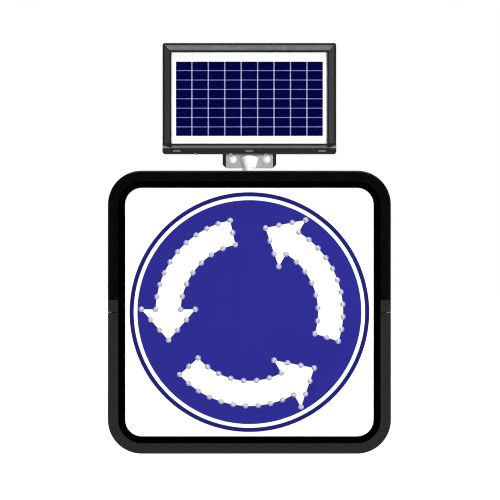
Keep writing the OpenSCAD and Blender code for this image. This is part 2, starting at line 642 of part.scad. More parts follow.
frame_upper();
frame_lower();
joint_block_left();
joint_block_right();
joint_screws();
face_seal();
face_plate();
blue_disc_film();
blue_ring_film();
led_lenses();
led_board_left();
led_board_bottom();
led_board_right();
board_spacers();
board_screws();
back_panel();
service_cover();
cover_seal();
cover_screws();
battery_pack();
battery_cradle();
battery_strap();
controller_case();
controller_lid();
vent_plug();
rail_upper();
rail_lower();
rail_rivets();
rail_end_caps();
pole_saddle_upper();
pole_saddle_lower();
pole_strap_upper();
pole_strap_lower();
pole_clamp_bolts();
pole_clamp_washers();
pole_clamp_nuts();
neck();
neck_locknut();
clamp_front();
clamp_rear();
clamp_bolts();
clamp_washers();
clamp_nuts();
tilt_bolt();
tilt_nut();
panel_rail_top();
panel_rail_bottom();
panel_rail_left();
panel_rail_right();
panel_glass();
solar_cells();
panel_backsheet();
panel_plugs();
panel_edge_screws();
junction_box();
junction_lid();
junction_gland();
panel_crossbar();
crossbar_bolts();
tilt_bracket();
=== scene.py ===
# Looks of the solar roundabout sign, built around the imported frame. Metres, +Z up, the face looks along -Y.
import bpy, bmesh, json, math
from mathutils import Vector, Matrix

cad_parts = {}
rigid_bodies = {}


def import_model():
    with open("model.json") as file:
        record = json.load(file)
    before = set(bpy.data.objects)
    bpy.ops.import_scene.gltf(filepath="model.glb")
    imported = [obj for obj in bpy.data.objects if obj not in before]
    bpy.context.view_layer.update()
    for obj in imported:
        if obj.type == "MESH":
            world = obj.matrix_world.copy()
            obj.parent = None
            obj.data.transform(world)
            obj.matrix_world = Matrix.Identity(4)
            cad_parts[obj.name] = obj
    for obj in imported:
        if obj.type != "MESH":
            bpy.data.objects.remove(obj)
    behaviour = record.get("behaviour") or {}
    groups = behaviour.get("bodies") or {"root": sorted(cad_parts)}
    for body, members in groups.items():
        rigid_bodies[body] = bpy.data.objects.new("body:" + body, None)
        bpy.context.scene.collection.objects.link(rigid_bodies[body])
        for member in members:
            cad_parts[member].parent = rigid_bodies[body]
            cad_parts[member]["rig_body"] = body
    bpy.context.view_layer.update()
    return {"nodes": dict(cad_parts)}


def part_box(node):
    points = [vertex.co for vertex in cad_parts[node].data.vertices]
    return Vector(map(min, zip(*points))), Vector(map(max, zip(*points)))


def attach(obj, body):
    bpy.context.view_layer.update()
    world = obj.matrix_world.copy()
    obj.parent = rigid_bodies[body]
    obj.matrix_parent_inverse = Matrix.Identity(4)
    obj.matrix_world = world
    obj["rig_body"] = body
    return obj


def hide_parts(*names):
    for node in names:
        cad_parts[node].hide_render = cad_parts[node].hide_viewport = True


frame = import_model()
N = frame["nodes"]

POLE_V = 0.124            # depth of the origin behind the front lip
TOP = 0.300               # height of the casing's top
def Y(v):                 # row Y of a depth v (in mm) behind the front lip
    return v / 1000.0 - POLE_V

# ------------------------------------------------------------------ camera, light and stage
scene = bpy.context.scene
scene.view_settings.view_transform = "Standard"
scene.view_settings.look = "None"
scene.view_settings.exposure = 0.0
scene.view_settings.gamma = 1.0
scene.cycles.filter_width = 1.0

PX = 0.0021186            # metres to a pixel of the photo at the front plane
DIST = 10.0
cam_data = bpy.data.cameras.new("camera")
cam_data.sensor_width = 36.0
cam_data.lens = 36.0 * DIST / (500 * PX)
cam_data.clip_start, cam_data.clip_end = 0.5, 400.0
cam = bpy.data.objects.new("camera", cam_data)
cam.location = ((250 - 249.4) * PX, Y(0) - DIST, (312.15 - 250) * PX)
cam.rotation_euler = (math.radians(90), 0, 0)
scene.collection.objects.link(cam)
scene.camera = cam

world = bpy.data.worlds.new("studio")
scene.world = world
world.use_nodes = True
wt = world.node_tree
wt.nodes.clear()
w_out = wt.nodes.new("ShaderNodeOutputWorld")
w_mix = wt.nodes.new("ShaderNodeMixShader")
w_seen = wt.nodes.new("ShaderNodeBackground")
w_seen.inputs["Color"].default_value = (1, 1, 1, 1)
w_seen.inputs["Strength"].default_value = 1.0
w_lit = wt.nodes.new("ShaderNodeBackground")
w_lit.inputs["Strength"].default_value = 1.0
w_path = wt.nodes.new("ShaderNodeLightPath")
w_co = wt.nodes.new("ShaderNodeTexCoord")
w_sep = wt.nodes.new("ShaderNodeSeparateXYZ")
wt.links.new(w_co.outputs["Generated"], w_sep.inputs[0])
def w_band(axis, lo, hi, gain):
    n = wt.nodes.new("ShaderNodeMapRange")
    n.interpolation_type = "SMOOTHSTEP"
    n.inputs["From Min"].default_value, n.inputs["From Max"].default_value = lo, hi
    n.inputs["To Min"].default_value, n.inputs["To Max"].default_value = 0.0, gain
    wt.links.new(w_sep.outputs[axis], n.inputs["Value"])
    return n.outputs[0]
w_sum = wt.nodes.new("ShaderNodeMath")
w_sum.operation = "ADD"
wt.links.new(w_band("Z", 0.35, 0.90, 0.45), w_sum.inputs[0])
wt.links.new(w_band("Y", -0.15, 0.65, 0.34), w_sum.inputs[1])
wt.links.new(w_sum.outputs[0], w_lit.inputs["Strength"])
w_lit.inputs["Color"].default_value = (0.98, 0.99, 1.0, 1)
wt.links.new(w_path.outputs["Is Camera Ray"], w_mix.inputs["Fac"])
wt.links.new(w_lit.outputs[0], w_mix.inputs[1])
wt.links.new(w_seen.outputs[0], w_mix.inputs[2])
wt.links.new(w_mix.outputs[0], w_out.inputs["Surface"])

def lamp(name, loc, size, power, target=(0, 0, 0.1), tint=(1, 1, 1), glossy=True, diffuse=True):
    d = bpy.data.lights.new(name, "AREA")
    d.shape = "RECTANGLE"
    d.size, d.size_y = size
    d.energy = power
    d.color = tint
    o = bpy.data.objects.new(name, d)
    o.location = loc
    o.rotation_euler = (Vector(target) - Vector(loc)).to_track_quat("-Z", "Y").to_euler()
    o.visible_camera = o.visible_transmission = False
    o.visible_glossy = glossy
    o.visible_diffuse = diffuse
    scene.collection.objects.link(o)
    return o

lamp("key", (1.55, -5.0, 0.56), (1.0, 1.0), 225, glossy=False)
lamp("key_glint", (2.1, -4.85, 1.3), (1.0, 1.0), 10, diffuse=False)
lamp("fill", (-1.0, -5.1, 0.0), (2.4, 2.4), 40, glossy=False)
lamp("side_left", (-3.05, -4.55, 0.3), (1.2, 2.8), 12, diffuse=False)
lamp("side_right", (3.25, -4.4, 0.3), (1.2, 2.8), 12, diffuse=False)
lamp("brow", (0.0, -4.25, 3.15), (2.4, 0.7), 42, target=(0, 0, 0.45), diffuse=False)
lamp("overhead", (0.0, -0.3, 4.0), (3.2, 2.4), 170)
lamp("rear_left", (2.6, 3.4, 2.6), (2.0, 2.0), 170, glossy=False)
lamp("rear_left_glint", (2.6, 3.4, 2.6), (2.0, 2.0), 55, diffuse=False)
lamp("rear_right", (-3.4, 2.6, 1.0), (1.6, 2.4), 80, glossy=False)
lamp("rear_right_glint", (-3.4, 2.6, 1.0), (1.6, 2.4), 35, diffuse=False)
lamp("flank_right_glint", (4.1, 3.1, 0.8), (1.8, 2.4), 110, diffuse=False)
lamp("flank_left_glint", (-4.1, 3.1, 0.8), (1.8, 2.4), 80, diffuse=False)

# ------------------------------------------------------------------ materials
def nd(t, kind, **inputs):
    n = t.nodes.new(kind)
    for k, v in inputs.items():
        n.inputs[k].default_value = v
    return n

def material(name, base, rough=0.5, metal=0.0, spec=0.5, tone=0.06, tone_scale=9.0, rvar=0.07, rough_scale=60.0,
             bump=0.15, bump_scale=900.0, bump_size=0.00012, stretch=None, coat=0.0, coat_rough=0.08, pattern="noise", alpha=1.0,
             trans=0.0, ior=1.5, sheen=0.0, tint=None):
    """A Principled material whose colour, roughness and bump all vary over the surface."""
    m = bpy.data.materials.new(name)
    m.use_nodes = True
    t = m.node_tree
    t.nodes.clear()
    out = t.nodes.new("ShaderNodeOutputMaterial")
    p = t.nodes.new("ShaderNodeBsdfPrincipled")
    t.links.new(p.outputs[0], out.inputs["Surface"])
    p.inputs["Metallic"].default_value = metal
    p.inputs["Specular IOR Level"].default_value = spec
    p.inputs["Coat Weight"].default_value = coat
    p.inputs["Coat Roughness"].default_value = coat_rough
    p.inputs["IOR"].default_value = ior
    p.inputs["Transmission Weight"].default_value = trans
    p.inputs["Alpha"].default_value = alpha
    p.inputs["Sheen Weight"].default_value = sheen
    co = t.nodes.new("ShaderNodeTexCoord")
    vec = co.outputs["Object"]
    if stretch:
        mp = t.nodes.new("ShaderNodeMapping")
        mp.inputs["Scale"].default_value = stretch
        t.links.new(vec, mp.inputs["Vector"])
        fine = mp.outputs["Vector"]
    else:
        fine = vec
    # colour
    if pattern == "spangle":
        big = t.nodes.new("ShaderNodeTexVoronoi")
        big.inputs["Scale"].default_value = tone_scale
        big.inputs["Randomness"].default_value = 1.0
        t.links.new(vec, big.inputs["Vector"])
        sepc = t.nodes.new("ShaderNodeSeparateColor")
        t.links.new(big.outputs["Color"], sepc.inputs[0])
        fac = sepc.outputs[0]
    else:
        big = nd(t, "ShaderNodeTexNoise", Scale=tone_scale, Detail=4.0, Roughness=0.55)
        t.links.new(vec if not stretch else fine, big.inputs["Vector"])
        fac = big.outputs["Fac"]
    mix = t.nodes.new("ShaderNodeMix")
    mix.data_type = "RGBA"
    lo = [c * (1 - tone) for c in base]
    hi = [min(1.0, c * (1 + tone)) for c in (tint or base)]
    mix.inputs["A"].default_value = (*lo, 1)
    mix.inputs["B"].default_value = (*hi, 1)
    spread = nd(t, "ShaderNodeMapRange", **{"From Min": 0.3 if pattern != "spangle" else 0.0, "From Max": 0.7 if pattern != "spangle" else 1.0})
    t.links.new(fac, spread.inputs["Value"])
    t.links.new(spread.outputs[0], mix.inputs["Factor"])
    t.links.new(mix.outputs["Result"], p.inputs["Base Color"])
    # roughness
    rn = nd(t, "ShaderNodeTexNoise", Scale=rough_scale, Detail=3.0, Roughness=0.6)
    t.links.new(fine, rn.inputs["Vector"])
    rm = nd(t, "ShaderNodeMapRange", **{"From Min": 0.3, "From Max": 0.7, "To Min": max(0.02, rough - rvar), "To Max": min(1.0, rough + rvar)})
    t.links.new(fac if pattern == "spangle" else rn.outputs["Fac"], rm.inputs["Value"])
    t.links.new(rm.outputs[0], p.inputs["Roughness"])
    # bump
    if bump > 0:
        if pattern == "cells":
            bn = t.nodes.new("ShaderNodeTexVoronoi")
            bn.feature = "DISTANCE_TO_EDGE"
            bn.inputs["Scale"].default_value = bump_scale
            bn.inputs["Randomness"].default_value = 0.0
            mp2 = t.nodes.new("ShaderNodeMapping")
            mp2.inputs["Rotation"].default_value = (0, math.radians(45), 0)
            t.links.new(vec, mp2.inputs["Vector"])
            t.links.new(mp2.outputs["Vector"], bn.inputs["Vector"])
            height = bn.outputs["Distance"]
        else:
            bn = nd(t, "ShaderNodeTexNoise", Scale=bump_scale, Detail=2.0, Roughness=0.5)
            t.links.new(fine, bn.inputs["Vector"])
            height = bn.outputs["Fac"]
        b = nd(t, "ShaderNodeBump", Strength=bump, Distance=bump_size)
        t.links.new(height, b.inputs["Height"])
        t.links.new(b.outputs["Normal"], p.inputs["Normal"])
    return m

MAT = {
    "frame_black": material("frame_black", (0.0007, 0.0007, 0.00075), rough=0.30, spec=0.18, tone=0.12, rvar=0.05, bump=0.3, bump_scale=1500, bump_size=0.00004),
    "frame_charcoal": material("frame_charcoal", (0.0147, 0.0147, 0.0152), rough=0.33, spec=0.26, tone=0.05, rvar=0.05, bump=0.3, bump_scale=1500, bump_size=0.00004),
    "joint_charcoal": material("joint_charcoal", (0.0147, 0.0147, 0.0152), rough=0.36, spec=0.26, tone=0.05, rvar=0.05, bump=0.35, bump_scale=1300, bump_size=0.00006),
    "seal_rubber": material("seal_rubber", (0.0003, 0.0003, 0.0003), rough=0.5, spec=0.0, tone=0.2, bump=0.2, bump_scale=700, bump_size=0.00008),
    "cover_rubber": material("cover_rubber", (0.006, 0.006, 0.006), rough=0.7, spec=0.2, tone=0.2, bump=0.3, bump_scale=700, bump_size=0.0001),
    "face_white": material("face_white", (0.88, 0.88, 0.88), rough=0.38, spec=0.25, tone=0.012, tone_scale=5, rvar=0.05, pattern="cells", bump=0.2, bump_scale=240, bump_size=0.00003),
    "film_blue": material("film_blue", (0.0192, 0.0192, 0.228), rough=0.34, spec=0.08, tone=0.04, tone_scale=6, rvar=0.05, pattern="cells", bump=0.2, bump_scale=240, bump_size=0.00003),
    "film_blue_ring": material("film_blue_ring", (0.0095, 0.0105, 0.142), rough=0.34, spec=0.08, tone=0.04, tone_scale=6, rvar=0.05, pattern="cells", bump=0.2, bump_scale=240, bump_size=0.00003),
    "lamp_dome": material("lamp_dome", (0.95, 0.95, 0.95), rough=0.16, spec=0.6, tone=0.04, tone_scale=90, rvar=0.03, bump=0.05, bump_scale=500, bump_size=0.00005, trans=0.15, coat=0.5, coat_rough=0.04),
    "lamp_flange": material("lamp_flange", (0.95, 0.95, 0.95), rough=0.35, spec=0.4, tone=0.05, bump=0.1),
    "lamp_cup": material("lamp_cup", (0.70, 0.70, 0.70), rough=0.25, metal=1.0, tone=0.04, bump=0.05),
    "lamp_die": material("lamp_die", (0.80, 0.62, 0.16), rough=0.5, tone=0.05, bump=0.1),
    "circuit": material("circuit", (0.010, 0.09, 0.035), rough=0.4, tone=0.12, tone_scale=60, bump=0.2, bump_scale=1200),
    "nylon": material("nylon", (0.72, 0.68, 0.56), rough=0.55, tone=0.05, bump=0.15),
    "zinc_bright": material("zinc_bright", (0.76, 0.76, 0.74), rough=0.3, metal=0.75, tone=0.07, tone_scale=70, rvar=0.09, rough_scale=140, bump=0.15, bump_scale=900, bump_size=0.00005),
    "bolt_bright": material("bolt_bright", (0.93, 0.93, 0.93), rough=0.30, metal=0.25, tone=0.05, tone_scale=90, rvar=0.06, bump=0.12, bump_scale=900, bump_size=0.00004),
    "washer_bright": material("washer_bright", (0.66, 0.66, 0.66), rough=0.34, metal=0.15, tone=0.05, tone_scale=90, rvar=0.06, bump=0.12, bump_scale=900, bump_size=0.00004),
    "zinc_yellow": material("zinc_yellow", (0.60, 0.52, 0.34), rough=0.32, metal=1.0, tone=0.1, tone_scale=60, rvar=0.09, bump=0.1, bump_size=0.00005, tint=(0.60, 0.55, 0.45)),
    "galvanised": material("galvanised", (0.64, 0.65, 0.66), rough=0.42, metal=0.65, tone=0.055, tone_scale=130, rvar=0.045, pattern="spangle", bump=0.10, bump_scale=500, bump_size=0.00006),
    "galvanised_small": material("galvanised_small", (0.67, 0.68, 0.69), rough=0.4, metal=0.65, tone=0.05, tone_scale=210, rvar=0.045, pattern="spangle", bump=0.10, bump_scale=600, bump_size=0.00005),
    "clamp_plate": material("clamp_plate", (0.31, 0.31, 0.31), rough=0.5, metal=0.10, spec=0.4, tone=0.07, tone_scale=120, rvar=0.1, pattern="noise", bump=0.2, bump_scale=700, bump_size=0.00006),
    # a brighter copy of the clamp plate's metal for its pressed boss: a painted highlight
    "clamp_boss_painted_highlight": material("clamp_boss_painted_highlight", (0.80, 0.80, 0.80), rough=0.34, metal=0.05, spec=0.5, tone=0.02, tone_scale=90, rvar=0.06, bump=0.12, bump_scale=600, bump_size=0.00004),
    "clamp_black": material("clamp_black", (0.012, 0.012, 0.012), rough=0.5, spec=0.3, tone=0.15, bump=0.3, bump_scale=1100, bump_size=0.00006),
    "neck_metal": material("neck_metal", (0.88, 0.88, 0.88), rough=0.3, metal=0.25, tone=0.03, tone_scale=40, rvar=0.07, stretch=(1, 1, 14), bump=0.12, bump_scale=160, bump_size=0.00004),
    "sheet_grey": material("sheet_grey", (0.15, 0.155, 0.16), rough=0.44, spec=0.4, tone=0.07, tone_scale=7, bump=0.3, bump_scale=700, bump_size=0.00006),
    "rivet": material("rivet", (0.78, 0.78, 0.79), rough=0.3, metal=0.75, tone=0.05, tone_scale=90, bump=0.1),
    "bar_aluminium": material("bar_aluminium", (0.74, 0.74, 0.75), rough=0.36, metal=0.7, tone=0.05, tone_scale=18, rvar=0.08, stretch=(1, 26, 26), rough_scale=90, bump=0.2, bump_scale=160, bump_size=0.00005),
    "plastic_black": material("plastic_black", (0.014, 0.014, 0.014), rough=0.55, spec=0.35, tone=0.12, bump=0.35, bump_scale=1300, bump_size=0.00007),
    "plastic_dark": material("plastic_dark", (0.03, 0.03, 0.032), rough=0.5, tone=0.1, bump=0.3, bump_scale=1100),
    "battery_wrap": material("battery_wrap", (0.02, 0.08, 0.30), rough=0.25, tone=0.06, coat=0.3, bump=0.15, bump_scale=60, bump_size=0.0003),
    "webbing": material("webbing", (0.015, 0.015, 0.015), rough=0.85, tone=0.2, bump=0.6, bump_scale=1400, bump_size=0.0002, sheen=0.3),
    "panel_frame": material("panel_frame", (0.0135, 0.0135, 0.014), rough=0.24, spec=0.5, tone=0.06, tone_scale=14, rvar=0.03, bump=0.06, bump_scale=1200, bump_size=0.00002),
    "panel_plug": material("panel_plug", (0.12, 0.12, 0.12), rough=0.5, tone=0.08, bump=0.2),
    "glass": material("glass", (0.98, 0.99, 1.0), rough=0.04, tone=0.005, rvar=0.012, trans=1.0, ior=1.45, spec=0.15, bump=0.03, bump_scale=80, bump_size=0.0001),
    "cell": material("cell", (0.0002, 0.0004, 0.042), rough=0.3, spec=0.05, tone=0.07, tone_scale=30, rvar=0.05, bump=0.06, bump_scale=300, bump_size=0.00002),
    "panel_frame_low": material("panel_frame_low", (0.0135, 0.0135, 0.014), rough=0.24, spec=0.68, tone=0.06, tone_scale=14, rvar=0.03, bump=0.06, bump_scale=1200, bump_size=0.00002),
    "grid_upright": material("grid_upright", (0.29, 0.28, 0.49), rough=0.4, spec=0.2, tone=0.04, tone_scale=60, bump=0.05),
    "grid_level": material("grid_level", (0.19, 0.18, 0.50), rough=0.4, spec=0.2, tone=0.05, tone_scale=60, bump=0.05),
    "grid_cross": material("grid_cross", (0.62, 0.62, 0.90), rough=0.4, spec=0.2, tone=0.03, tone_scale=60, bump=0.05),
    "ribbon": material("ribbon", (0.60, 0.60, 0.62), rough=0.3, metal=1.0, tone=0.04, bump=0.1),
    "backsheet": material("backsheet", (0.94, 0.94, 0.95), rough=0.45, spec=0.3, tone=0.01, tone_scale=12, bump=0.15, bump_scale=400, bump_size=0.00006),
    "floor": material("floor", (0.30, 0.30, 0.30), rough=0.8, spec=0.1, tone=0.02, tone_scale=0.8, bump=0.1, bump_scale=30, bump_size=0.0005),
}

def paint_lamp_reflection_and_shade(m, *stops):
    """Paints reflection, highlight and shade into a lamp's piece by the attribute "side": -1 towards the blue film, +1
    towards the arrow.
    """
    t = m.node_tree
    p = next(n for n in t.nodes if n.type == "BSDF_PRINCIPLED")
    a = t.nodes.new("ShaderNodeAttribute")
    a.attribute_name = "side"
    ramp = t.nodes.new("ShaderNodeValToRGB")
    ramp.color_ramp.elements[0].position, ramp.color_ramp.elements[0].color = stops[0][0], (*stops[0][1], 1)
    ramp.color_ramp.elements[1].position, ramp.color_ramp.elements[1].color = stops[-1][0], (*stops[-1][1], 1)
    for at, col in stops[1:-1]:
        ramp.color_ramp.elements.new(at).color = (*col, 1)
    place = nd(t, "ShaderNodeMapRange", **{"From Min": -1.0, "From Max": 1.0})
    t.links.new(a.outputs["Fac"], place.inputs["Value"])
    t.links.new(place.outputs[0], ramp.inputs["Fac"])
    old = p.inputs["Base Color"].links[0].from_socket
    mix = t.nodes.new("ShaderNodeMix")
    mix.data_type = "RGBA"
    mix.blend_type = "MULTIPLY"
    mix.inputs["Factor"].default_value = 1.0
    t.links.new(old, mix.inputs["A"])
    t.links.new(ramp.outputs["Color"], mix.inputs["B"])
    t.links.new(mix.outputs["Result"], p.inputs["Base Color"])
# painted light on the domes: the blue film's colour as a painted reflection towards the film, a painted highlight in
# the middle and painted shade towards the arrow
paint_lamp_reflection_and_shade(MAT["lamp_dome"], (0.05, (0.38, 0.37, 0.80)), (0.45, (0.72, 0.73, 0.87)), (0.78, (0.48, 0.51, 0.44)), (0.97, (0.27, 0.31, 0.23)))
# painted light on the flanges: a dark blue painted reflection towards the film and a pale painted reflection of the
# white arrow towards the arrow
paint_lamp_reflection_and_shade(MAT["lamp_flange"], (0.05, (0.26, 0.25, 0.58)), (0.50, (0.50, 0.50, 0.58)), (0.95, (0.78, 0.79, 0.76)))

def paint_rear_shade(m, col):
    """Paints shade onto the side of a sheet that looks backwards (+Y of the piece)."""
    t = m.node_tree
    p = next(n for n in t.nodes if n.type == "BSDF_PRINCIPLED")
    co = t.nodes.new("ShaderNodeTexCoord")
    sep = t.nodes.new("ShaderNodeSeparateXYZ")
    t.links.new(co.outputs["Normal"], sep.inputs[0])
    back = nd(t, "ShaderNodeMapRange", **{"From Min": 0.4, "From Max": 0.6})
    t.links.new(sep.outputs["Y"], back.inputs["Value"])
    old = p.inputs["Base Color"].links[0].from_socket
    mix = t.nodes.new("ShaderNodeMix")
    mix.data_type = "RGBA"
    mix.blend_type = "MULTIPLY"
    t.links.new(back.outputs[0], mix.inputs["Factor"])
    t.links.new(old, mix.inputs["A"])
    mix.inputs["B"].default_value = (*col, 1)
    t.links.new(mix.outputs["Result"], p.inputs["Base Color"])
# painted shade: the backsheet's rear-facing side is darkened to about half its white
paint_rear_shade(MAT["backsheet"], (0.50, 0.51, 0.53))

def pale_floor(m):
    """Gives the floor an even pale tone where it is seen, and lets little of it bounce back."""
    t = m.node_tree
    p = next(n for n in t.nodes if n.type == "BSDF_PRINCIPLED")
    out = next(n for n in t.nodes if n.type == "OUTPUT_MATERIAL")
    path = t.nodes.new("ShaderNodeLightPath")
    glow = nd(t, "ShaderNodeEmission", Color=(1, 1, 1, 1))
    co = t.nodes.new("ShaderNodeTexCoord")
    away = t.nodes.new("ShaderNodeVectorMath")
    away.operation = "LENGTH"
    rise = nd(t, "ShaderNodeMapRange", **{"From Min": 1.5, "From Max": 15.0, "To Min": 0.62, "To Max": 1.02})
    rise.interpolation_type = "SMOOTHSTEP"
    t.links.new(co.outputs["Object"], away.inputs[0])
    t.links.new(away.outputs["Value"], rise.inputs["Value"])
    t.links.new(rise.outputs[0], glow.inputs["Strength"])
    add = t.nodes.new("ShaderNodeAddShader")
    mix = t.nodes.new("ShaderNodeMixShader")
    t.links.new(p.outputs[0], add.inputs[0])
    t.links.new(glow.outputs[0], add.inputs[1])
    t.links.new(path.outputs["Is Camera Ray"], mix.inputs["Fac"])
    t.links.new(p.outputs[0], mix.inputs[1])
    t.links.new(add.outputs[0], mix.inputs[2])
    t.links.new(mix.outputs[0], out.inputs["Surface"])
pale_floor(MAT["floor"])

# ------------------------------------------------------------------ mesh helpers
def finish_mesh(name, bm, mat, body, replaces=(), sharp=32.0, weighted=True):
    """Turns a bmesh into a shaded piece that rides on a body."""
    bmesh.ops.recalc_face_normals(bm, faces=bm.faces)
    for f in bm.faces:
        f.smooth = True
    lim = math.radians(sharp)
    for e in bm.edges:
        if len(e.link_faces) == 2:
            e.smooth = e.calc_face_angle(0.0) < lim
    me = bpy.data.meshes.new(name)
    bm.to_mesh(me)
    bm.free()
    ob = bpy.data.objects.new(name, me)
    scene.collection.objects.link(ob)
    me.materials.append(MAT[mat] if isinstance(mat, str) else mat)
    if weighted:
        w = ob.modifiers.new("normals", "WEIGHTED_NORMAL")
        w.keep_sharp = True
        w.weight = 60
    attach(ob, body)
    if replaces:
        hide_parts(*replaces)
    return ob

BODY = {n: o["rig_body"] for n, o in N.items()}

def refine(node, mat, width=0.0004, segs=2, angle=28.0, name=None, sharp=32.0):
    """The node's own shape with welded faces, rounded edges and clean shading."""
    bm = bmesh.new()
    bm.from_mesh(N[node].data)
    bmesh.ops.remove_doubles(bm, verts=bm.verts, dist=2e-6)
    bmesh.ops.dissolve_degenerate(bm, edges=bm.edges, dist=1e-6)
    bmesh.ops.dissolve_limit(bm, angle_limit=math.radians(0.6), verts=bm.verts, edges=bm.edges, delimit={"NORMAL"})
    if width > 0:
        lim = math.radians(angle)
        es = [e for e in bm.edges if len(e.link_faces) == 2 and e.calc_face_angle(0.0) > lim]
        bmesh.ops.bevel(bm, geom=es, offset=width, offset_type="OFFSET", segments=segs, profile=0.5, affect="EDGES",
                        clamp_overlap=True, loop_slide=True, miter_outer="SHARP", miter_inner="SHARP")
    return finish_mesh(name or node + ".finished", bm, mat, BODY[node], replaces=(node,), sharp=sharp)

def ring_faces(bm, rings, close=True, cap_first=True, cap_last=True):
    """Joins rings of equal length into a skin."""
    n = len(rings[0])
    for a, b in zip(rings, rings[1:]):
        for i in range(n if close else n - 1):
            j = (i + 1) % n
            bm.faces.new((a[i], a[j], b[j], b[i]))
    if cap_first:
        bm.faces.new(list(reversed(rings[0])))
    if cap_last:
        bm.faces.new(rings[-1])

def turn(bm, prof, at, axis="-Y", seg=40, cap=True):
    """A turned solid: prof is [(radius, height along axis)], in mm; radius 0 makes a pole."""
    M = frame_of(axis, at)
    rings = []
    for r, h in prof:
        if r <= 1e-6:
            rings.append([bm.verts.new(M @ Vector((0, 0, h / 1000)))])
        else:
            rings.append([bm.verts.new(M @ Vector((r / 1000 * math.cos(2 * math.pi * i / seg), r / 1000 * math.sin(2 * math.pi * i / seg), h / 1000))) for i in range(seg)])
    skin(bm, rings, seg, cap)

def skin(bm, rings, seg, cap=True):
    for a, b in zip(rings, rings[1:]):
        if len(a) == 1 and len(b) == 1:
            continue
        for i in range(seg):
            j = (i + 1) % seg
            if len(a) == 1:
                bm.faces.new((a[0], b[j], b[i]))
            elif len(b) == 1:
                bm.faces.new((a[i], a[j], b[0]))
            else:
                bm.faces.new((a[i], a[j], b[j], b[i]))
    if cap:
        if len(rings[0]) > 1:
            bm.faces.new(list(reversed(rings[0])))
        if len(rings[-1]) > 1:
            bm.faces.new(rings[-1])

def frame_of(axis, at):
    """A matrix whose local z points along the axis, placed at a point in metres."""
    d = {"-Y": Vector((0, -1, 0)), "+Y": Vector((0, 1, 0)), "+Z": Vector((0, 0, 1)), "-Z": Vector((0, 0, -1)), "+X": Vector((1, 0, 0)), "-X": Vector((-1, 0, 0))}[axis]
    return Matrix.Translation(Vector(at)) @ d.to_track_quat("Z", "Y").to_matrix().to_4x4()

def hexr(a, flat, phase=0.0):
    """Radius of a hexagon with this half width across flats, at an angle."""
    t = (a - phase) % (math.pi / 3) - math.pi / 6
    return flat / math.cos(t)

def hex_solid(bm, at, axis, flat, h, bore=0.0, seg=72, chamfer_top=True, chamfer_bottom=True, phase=0.0):
    """A nut or bolt head, 0 to h along the axis, with the cut corners that a real one has."""
    M = frame_of(axis, at)
    A = [2 * math.pi * i / seg for i in range(seg)]
    k = math.tan(math.radians(28))
    def ring(fn):
        return [bm.verts.new(M @ Vector((r / 1000 * math.cos(a), r / 1000 * math.sin(a), z / 1000))) for a in A for r, z in [fn(a)]]
    rings = []
    ci = flat * 0.955
    inner = bore if bore > 0 else 0
    if inner:
        rings.append(ring(lambda a: (inner, 0.5)))
        rings.append(ring(lambda a: (inner + 0.5, 0)))
    rings.append(ring(lambda a: (ci if chamfer_bottom else hexr(a, flat, phase) - 0.15, 0)))
    rings.append(ring(lambda a: (hexr(a, flat, phase), (hexr(a, flat, phase) - ci) * k if chamfer_bottom else 0.15)))
    rings.append(ring(lambda a: (hexr(a, flat, phase), h - ((hexr(a, flat, phase) - ci) * k if chamfer_top else 0.15))))
    rings.append(ring(lambda a: (ci if chamfer_top else hexr(a, flat, phase) - 0.15, h)))
    if inner:
        rings.append(ring(lambda a: (inner + 0.5, h)))
        rings.append(ring(lambda a: (inner, h - 0.5)))
        rings.append(rings[0])
    for a, b in zip(rings, rings[1:]):
        for i in range(seg):
            j = (i + 1) % seg
            bm.faces.new((a[i], a[j], b[j], b[i]))
    if not inner:
        bm.faces.new(list(reversed(rings[0])))
        bm.faces.new(rings[-1])

def thread(bm, at, axis, r, length, pitch=1.25, depth=0.62, seg=28, tip=True):
    """A threaded shank from 0 to length along the axis."""
    M = frame_of(axis, at)
    per = 8
    n = max(8, int(length / pitch * per))
    rings = []
    for k in range(n + 1):
        z = length * k / n
        ring = []
        for i in range(seg):
            a = 2 * math.pi * i / seg
            ph = (z / pitch - a / (2 * math.pi)) % 1.0
            saw = abs(2 * ph - 1)
            saw = min(1.0, max(0.0, (saw - 0.08) / 0.84))
            rr = r - depth * (1 - saw)
            end = min(z, length - z)
            rr = min(rr, r - depth - 0.25 + end * 1.2) if end < 0.9 and tip else rr
            ring.append(bm.verts.new(M @ Vector((rr / 1000 * math.cos(a), rr / 1000 * math.sin(a), z / 1000))))
        rings.append(ring)
    skin(bm, rings, seg, True)

# ------------------------------------------------------------------ casing and face
refine("frame_upper", "frame_black", 0.0005, 2)
refine("frame_lower", "frame_charcoal", 0.0005, 2)
refine("joint_block_left", "joint_charcoal", 0.0004, 2)
refine("joint_block_right", "joint_charcoal", 0.0004, 2)
refine("face_seal", "seal_rubber", 0.0004, 2)
refine("face_plate", "face_white", 0)
refine("blue_disc_film", "film_blue", 0)
refine("blue_ring_film", "film_blue_ring", 0)

# lamps: places from the part's own rule
HEAD_Y, HEAD_O, HEAD_I, TIP = 5.9, -229.3, -114.3, (-171.5, -60.0)
R_O, R_I, A0 = 198.9, 145.8, 101.8
def polar(r, a):
    return (r * math.cos(math.radians(a)), r * math.sin(math.radians(a)))
def neck_a(r):
    return 180 - math.degrees(math.asin(HEAD_Y / r))
def lerp2(a, b, t):
    return (a[0] + (b[0] - a[0]) * t, a[1] + (b[1] - a[1]) * t)
first = [polar(R_O, A0 + (neck_a(R_O) - A0) * i / 10) for i in range(11)]
first += [polar(R_I, A0 + (neck_a(R_I) - A0) * i / 7) for i in range(8)]
first += [polar((R_O + R_I) / 2, A0), (HEAD_O, HEAD_Y), (HEAD_I, HEAD_Y), TIP]
first += [lerp2((HEAD_O, HEAD_Y), TIP, i / 3) for i in (1, 2)] + [lerp2((HEAD_I, HEAD_Y), TIP, i / 3) for i in (1, 2)]
